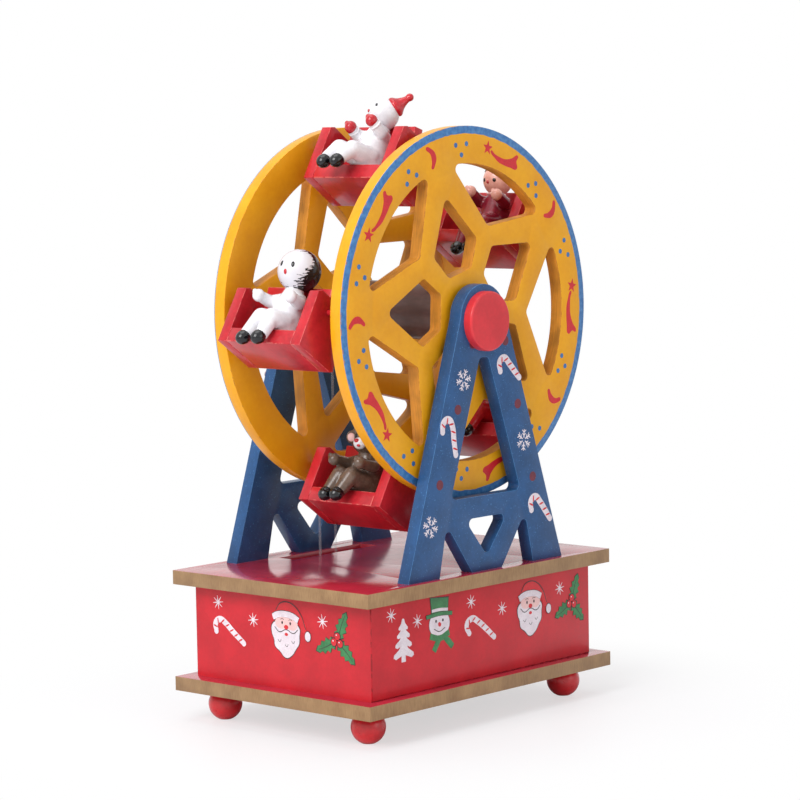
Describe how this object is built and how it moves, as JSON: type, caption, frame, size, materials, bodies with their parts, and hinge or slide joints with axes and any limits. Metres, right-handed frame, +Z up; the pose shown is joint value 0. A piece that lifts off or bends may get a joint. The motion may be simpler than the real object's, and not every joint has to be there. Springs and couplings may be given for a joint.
{
  "type": "ferris wheel music box",
  "caption": "Painted wooden ferris wheel with hanging cars and riders on a box that holds a wind-up music movement.",
  "frame": {"origin": "on the floor under the centre of the box", "axes": "+Z up; +X along the box towards the riders' backs; the wheel axle lies along Y, with the winding key on the +Y side"},
  "size_m": [0.1375, 0.1061, 0.2099],
  "materials": {
    "red_box": "gloss paint",
    "red_feet": "gloss paint",
    "blue_frame": "satin paint",
    "red_cap": "satin paint",
    "yellow_wheel": "satin paint",
    "brown_drum": "satin paint",
    "red_car": "satin paint",
    "raw_wood": "plain",
    "steel": "brushed",
    "brass": "brushed",
    "belt": "matt",
    "white_rider": "gloss paint",
    "brown_rider": "gloss paint",
    "red_rider": "gloss paint",
    "flesh": "gloss paint"
  },
  "bodies": {
    "base": {"bottom_board": "red_box", "top_board": "red_box", "front_wall": "red_box", "rear_wall": "red_box", "left_wall": "red_box", "right_wall": "red_box", "ball_feet": "red_feet", "foot_dowels": "raw_wood", "front_frame": "blue_frame", "rear_frame": "blue_frame", "frame_dowels": "raw_wood", "front_cap": "red_cap", "rear_cap": "red_cap", "drive_belt": "belt", "bedplate": "brass", "front_bridge": "brass", "rear_bridge": "brass", "governor_cock": "brass", "spring_barrel": "brass", "comb": "steel", "comb_block": "brass", "comb_screws": "steel", "movement_screws": "steel"},
    "wheel": {"wheel_axle": "raw_wood", "drum": "brown_drum", "front_wheel": "yellow_wheel", "rear_wheel": "yellow_wheel", "car_pins": "steel", "spacer_washers": "raw_wood", "top_pulley": "raw_wood"},
    "winding": {"main_arbor": "steel", "great_wheel": "brass", "mainspring": "steel", "lower_pulley": "raw_wood", "winding_key": "steel"},
    "cylinder": {"music_cylinder": "brass", "cylinder_arbor": "steel"},
    "governor": {"governor_wheel": "steel"},
    "fan": {"governor_fan": "steel"},
    "elf_car": {"elf_car_sides": "red_car", "elf_car_bench": "red_car", "elf_body": "red_rider", "elf_head": "flesh"},
    "clown_car": {"clown_car_sides": "red_car", "clown_car_bench": "red_car", "clown_body": "white_rider", "clown_head": "white_rider"},
    "doll_car": {"doll_car_sides": "red_car", "doll_car_bench": "red_car", "doll_body": "white_rider", "doll_head": "white_rider"},
    "bear_car": {"bear_car_sides": "red_car", "bear_car_bench": "red_car", "bear_body": "brown_rider", "bear_head": "brown_rider"},
    "gnome_car": {"gnome_car_sides": "red_car", "gnome_car_bench": "red_car", "gnome_body": "red_rider", "gnome_head": "flesh"}
  },
  "joints": [
    {"name": "wheel_spin", "type": "hinge", "parent": "base", "child": "wheel", "pos_m": [0, -0.0065, 0.1378], "axis": [0, -1, 0], "continuous": true},
    {"name": "elf_car_swing", "type": "hinge", "parent": "wheel", "child": "elf_car", "pos_m": [0.0478, -0.0065, 0.16884], "axis": [0, -1, 0], "continuous": true},
    {"name": "clown_car_swing", "type": "hinge", "parent": "wheel", "child": "clown_car", "pos_m": [-0.01475, -0.0065, 0.19286], "axis": [0, -1, 0], "continuous": true},
    {"name": "doll_car_swing", "type": "hinge", "parent": "wheel", "child": "doll_car", "pos_m": [-0.05692, -0.0065, 0.14078], "axis": [0, -1, 0], "continuous": true},
    {"name": "bear_car_swing", "type": "hinge", "parent": "wheel", "child": "bear_car", "pos_m": [-0.02043, -0.0065, 0.08459], "axis": [0, -1, 0], "continuous": true},
    {"name": "gnome_car_swing", "type": "hinge", "parent": "wheel", "child": "gnome_car", "pos_m": [0.0443, -0.0065, 0.10193], "axis": [0, -1, 0], "continuous": true},
    {"name": "key_spin", "type": "hinge", "parent": "base", "child": "winding", "pos_m": [0, 0, 0.03152], "axis": [0, -1, 0], "continuous": true},
    {"name": "cylinder_spin", "type": "hinge", "parent": "base", "child": "cylinder", "pos_m": [0.021, 0, 0.03152], "axis": [0, -1, 0], "continuous": true},
    {"name": "governor_spin", "type": "hinge", "parent": "base", "child": "governor", "pos_m": [0.03002, -0.01, 0.02824], "axis": [0, -1, 0], "continuous": true},
    {"name": "fan_spin", "type": "hinge", "parent": "base", "child": "fan", "pos_m": [0.03619, -0.01, 0.0356], "axis": [0, -1, 0], "continuous": true}
  ],
  "couplings": [
    {"joint": "elf_car_swing", "follows": "wheel_spin", "ratio": -1},
    {"joint": "clown_car_swing", "follows": "wheel_spin", "ratio": -1},
    {"joint": "doll_car_swing", "follows": "wheel_spin", "ratio": -1},
    {"joint": "bear_car_swing", "follows": "wheel_spin", "ratio": -1},
    {"joint": "gnome_car_swing", "follows": "wheel_spin", "ratio": -1},
    {"joint": "key_spin", "follows": "wheel_spin", "ratio": 1},
    {"joint": "cylinder_spin", "follows": "wheel_spin", "ratio": -2},
    {"joint": "governor_spin", "follows": "wheel_spin", "ratio": 6},
    {"joint": "fan_spin", "follows": "wheel_spin", "ratio": -18}
  ]
}
